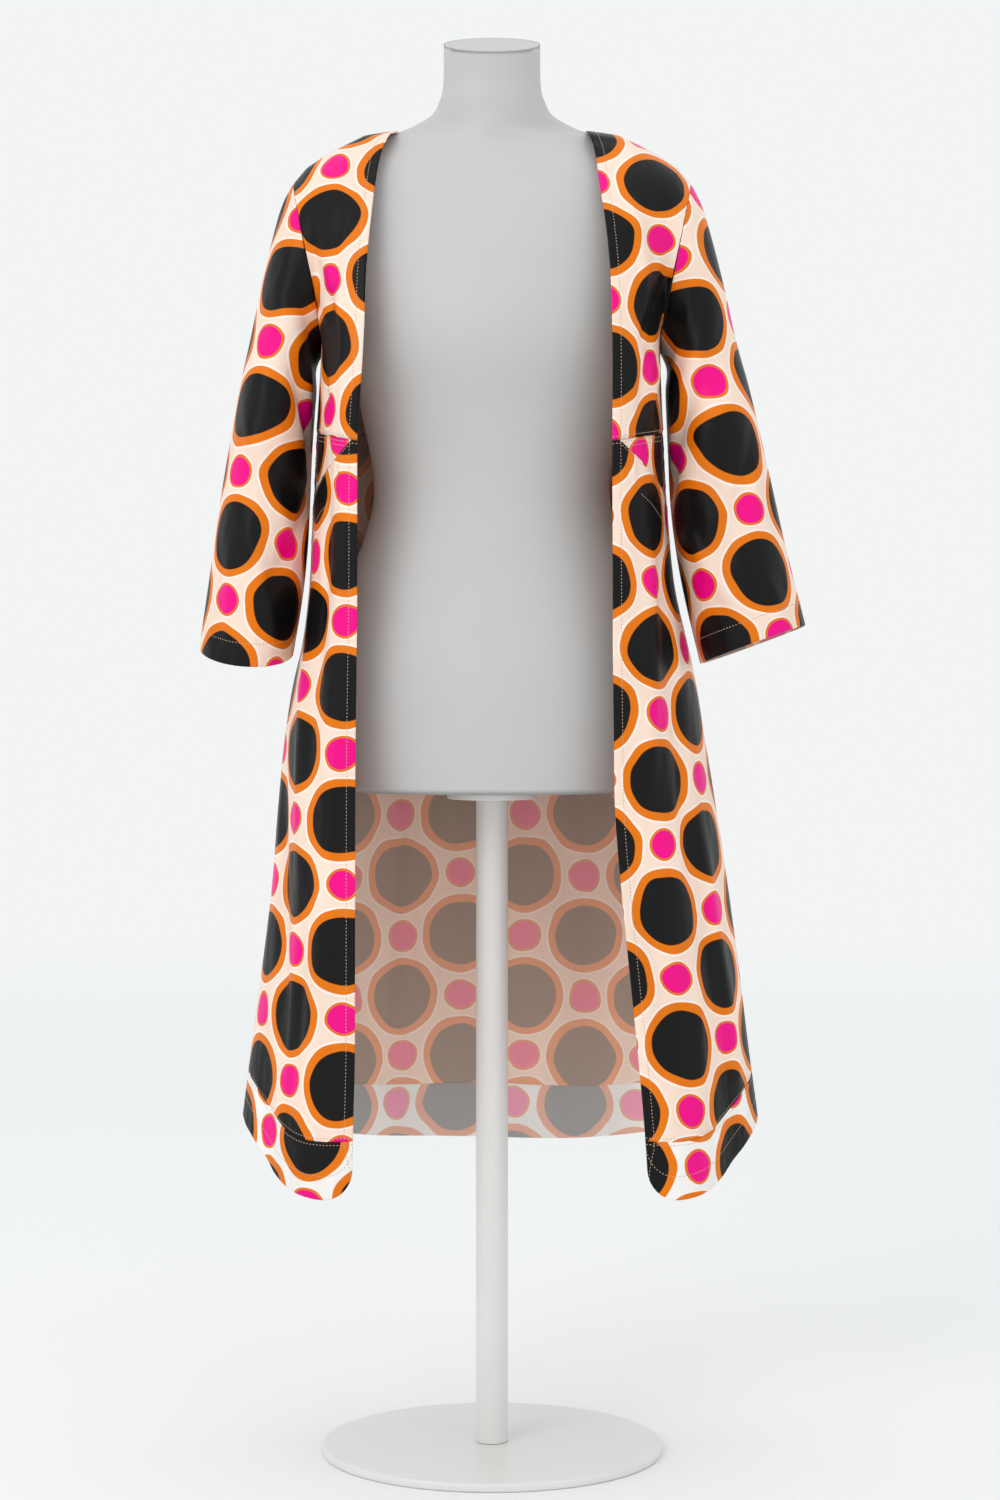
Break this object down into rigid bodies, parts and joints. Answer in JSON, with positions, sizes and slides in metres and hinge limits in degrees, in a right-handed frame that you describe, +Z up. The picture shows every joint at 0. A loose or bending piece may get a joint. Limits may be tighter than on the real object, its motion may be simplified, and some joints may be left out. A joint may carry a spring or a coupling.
{
  "type": "duster coat on a dress form",
  "caption": "Open-front collarless duster coat of printed satin with set-in sleeves, slant pockets and a curved hem, worn by a limbless dress form on a round stand.",
  "frame": {"origin": "middle of the base's underside, on the floor", "axes": "+Z up along the pole, -Y the way the coat's front faces, +X towards the wearer's left"},
  "size_m": [0.6032, 0.3603, 1.4192],
  "materials": {
    "printed_satin": "printed satin, soft sheen",
    "hem_band_satin": "printed satin on a whiter ground",
    "form_skin": "smooth, pale grey, half matt",
    "stand_paint": "white powder coat"
  },
  "bodies": {
    "root": {"front_bodice_right": "printed_satin", "front_bodice_left": "printed_satin", "front_skirt_right": "printed_satin", "front_skirt_left": "printed_satin", "pocket_side_right": "printed_satin", "pocket_side_left": "printed_satin", "front_hem_band_right": "hem_band_satin", "front_hem_band_left": "hem_band_satin", "back_bodice": "printed_satin", "back_skirt_right": "printed_satin", "back_skirt_left": "printed_satin", "back_hem_band": "hem_band_satin", "sleeve_right": "printed_satin", "sleeve_left": "printed_satin", "form_torso": "form_skin", "stand_flange": "stand_paint", "stand_pole": "stand_paint", "stand_base": "stand_paint"}
  },
  "joints": []
}
